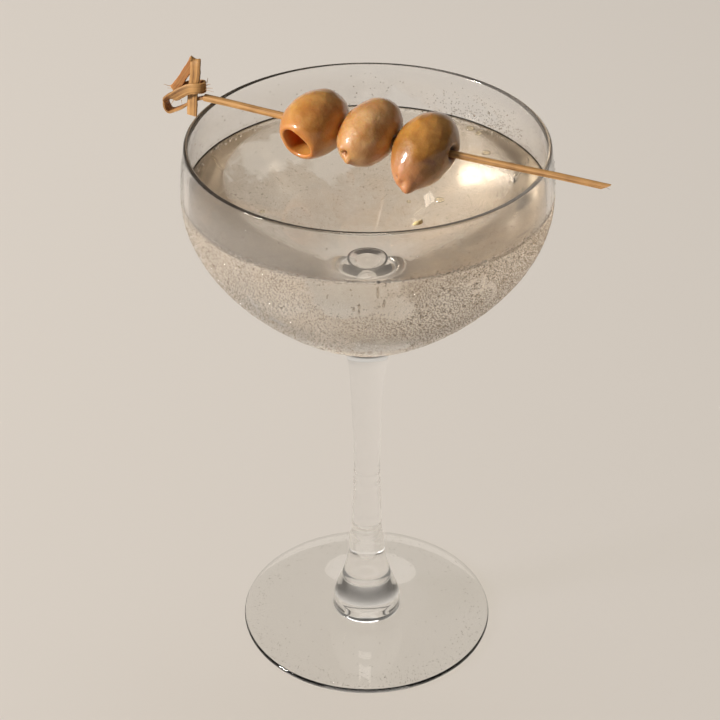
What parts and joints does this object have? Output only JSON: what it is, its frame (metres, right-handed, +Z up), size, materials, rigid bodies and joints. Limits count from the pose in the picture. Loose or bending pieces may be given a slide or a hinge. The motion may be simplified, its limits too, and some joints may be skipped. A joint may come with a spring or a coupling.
{
  "type": "martini cocktail",
  "caption": "Clear cocktail in a stemmed saucer glass, with pitted olives on a knotted bamboo pick laid across the rim.",
  "frame": {"origin": "centre of the foot's underside, where the glass stands", "axes": "+Z up along the stem, -Y towards the front, +X to the right with the cut tip of the pick"},
  "size_m": [0.1152, 0.0974, 0.1711],
  "materials": {
    "glass": "clear pressed glass, chilled, with fine condensation on the bowl",
    "drink": "clear, almost colourless spirit",
    "bamboo": "raw split bamboo, dry, fine straight fibres",
    "olive": "wet, tan to ochre olive skin"
  },
  "bodies": {
    "root": {"glass": "glass", "drink": "drink", "pick": "bamboo", "olive_1": "olive", "olive_2": "olive", "olive_3": "olive"}
  },
  "joints": []
}
